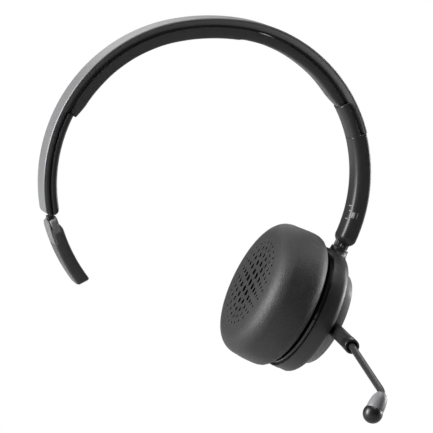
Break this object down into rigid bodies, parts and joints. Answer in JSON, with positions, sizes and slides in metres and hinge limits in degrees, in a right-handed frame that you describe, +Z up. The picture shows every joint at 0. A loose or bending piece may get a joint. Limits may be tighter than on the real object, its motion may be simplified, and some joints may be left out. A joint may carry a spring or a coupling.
{
  "type": "office headset",
  "caption": "Single-ear wireless office headset with a padded headband, an on-ear cushion, a temple rest and a rotating microphone boom.",
  "frame": {"origin": "middle of the underside of the crown pad, where the headset rests on top of the head", "axes": "+Z up, +X towards the ear cup, -Y to the front of the wearer"},
  "size_m": [0.1444, 0.14, 0.1553],
  "materials": {
    "frame_grey": "satin moulded plastic",
    "trim_grey": "fine satin",
    "black_plastic": "fine spark texture",
    "graphite_plastic": "satin",
    "gloss_black": "polished",
    "pad_cover": "soft matte leatherette over foam",
    "mic_grey": "satin",
    "spring_steel": "plain",
    "steel": "plain",
    "bronze": "sintered",
    "board_green": "solder mask",
    "clear_plastic": "milky",
    "film": "thin film"
  },
  "bodies": {
    "headband": {"band_frame": "frame_grey", "outer_trim": "trim_grey", "spring_strip": "spring_steel", "pad_carrier": "black_plastic", "crown_pad": "pad_cover", "left_sleeve": "black_plastic", "temple_detent": "steel"},
    "cup_arm": {"arm_inner_shell": "graphite_plastic", "arm_outer_cover": "black_plastic", "arm_detent": "spring_steel", "swivel_bush": "bronze"},
    "swivel": {"swivel_post": "steel", "post_clip": "spring_steel", "neck_sleeve": "black_plastic"},
    "temple_slider": {"temple_neck": "black_plastic"},
    "temple": {"temple_pin": "steel", "temple_plate": "graphite_plastic", "temple_pad": "pad_cover"},
    "volume_up": {"volume_up_button": "black_plastic"},
    "volume_down": {"volume_down_button": "black_plastic"},
    "power_slider": {"power_switch": "black_plastic"},
    "call_key": {"call_button": "black_plastic"},
    "boom": {"boom_disc": "graphite_plastic", "disc_cover": "graphite_plastic", "call_switch": "steel", "control_board": "board_green", "boom_root": "graphite_plastic", "boom_collar": "gloss_black", "boom_tube": "black_plastic", "microphone_body": "mic_grey", "microphone_capsule": "steel", "microphone_ball": "gloss_black"},
    "cup": {"tilt_pin": "steel", "cup_housing": "graphite_plastic", "cup_ring": "gloss_black", "cup_baffle": "black_plastic", "ear_cushion": "pad_cover", "driver_basket": "black_plastic", "driver_magnet": "steel", "driver_diaphragm": "film", "driver_grille": "black_plastic", "circuit_board": "board_green", "battery": "steel", "charge_port": "steel", "light_guide": "clear_plastic", "baffle_screws": "steel", "boom_hub": "steel", "hub_retainer": "steel", "hub_screw": "steel", "wave_washer": "spring_steel"}
  },
  "joints": [
    {"name": "arm_slide", "type": "hinge", "parent": "headband", "child": "cup_arm", "pos_m": [0.00368, 0, -0.05989], "axis": [0, 1, 0], "range_deg": [0, 12]},
    {"name": "temple_slide", "type": "hinge", "parent": "headband", "child": "temple_slider", "pos_m": [-0.00368, 0, -0.05989], "axis": [0, -1, 0], "range_deg": [0, 12]},
    {"name": "temple_tilt", "type": "hinge", "parent": "temple_slider", "child": "temple", "pos_m": [-0.06708, 0, -0.07927], "axis": [0, 1, 0], "range_deg": [-4, 4]},
    {"name": "cup_swivel", "type": "hinge", "parent": "cup_arm", "child": "swivel", "pos_m": [0.06018, 0, -0.09121], "axis": [0.4848, 0, 0.8746], "range_deg": [-20, 90]},
    {"name": "cup_tilt", "type": "hinge", "parent": "swivel", "child": "cup", "pos_m": [0.05766, 0, -0.09576], "axis": [0, 1, 0], "range_deg": [-6, 6]},
    {"name": "boom_turn", "type": "hinge", "parent": "cup", "child": "boom", "pos_m": [0.0412, 0, -0.117], "axis": [-0.887, 0, 0.4618], "range_deg": [-45, 225]},
    {"name": "volume_up_press", "type": "slide", "parent": "cup", "child": "volume_up", "axis": [-0.1117, -0.9703, -0.2146], "range_m": [0, 0.0005], "stiffness_N_per_m": 800},
    {"name": "volume_down_press", "type": "slide", "parent": "cup", "child": "volume_down", "axis": [0.1117, -0.9703, 0.2146], "range_m": [0, 0.0005], "stiffness_N_per_m": 800},
    {"name": "power_slide", "type": "slide", "parent": "cup", "child": "power_slider", "axis": [-0.3537, -0.6428, -0.6795], "range_m": [-0.002, 0.002]},
    {"name": "call_press", "type": "slide", "parent": "boom", "child": "call_key", "axis": [-0.887, 0, 0.4618], "range_m": [0, 0.0004], "stiffness_N_per_m": 800}
  ]
}
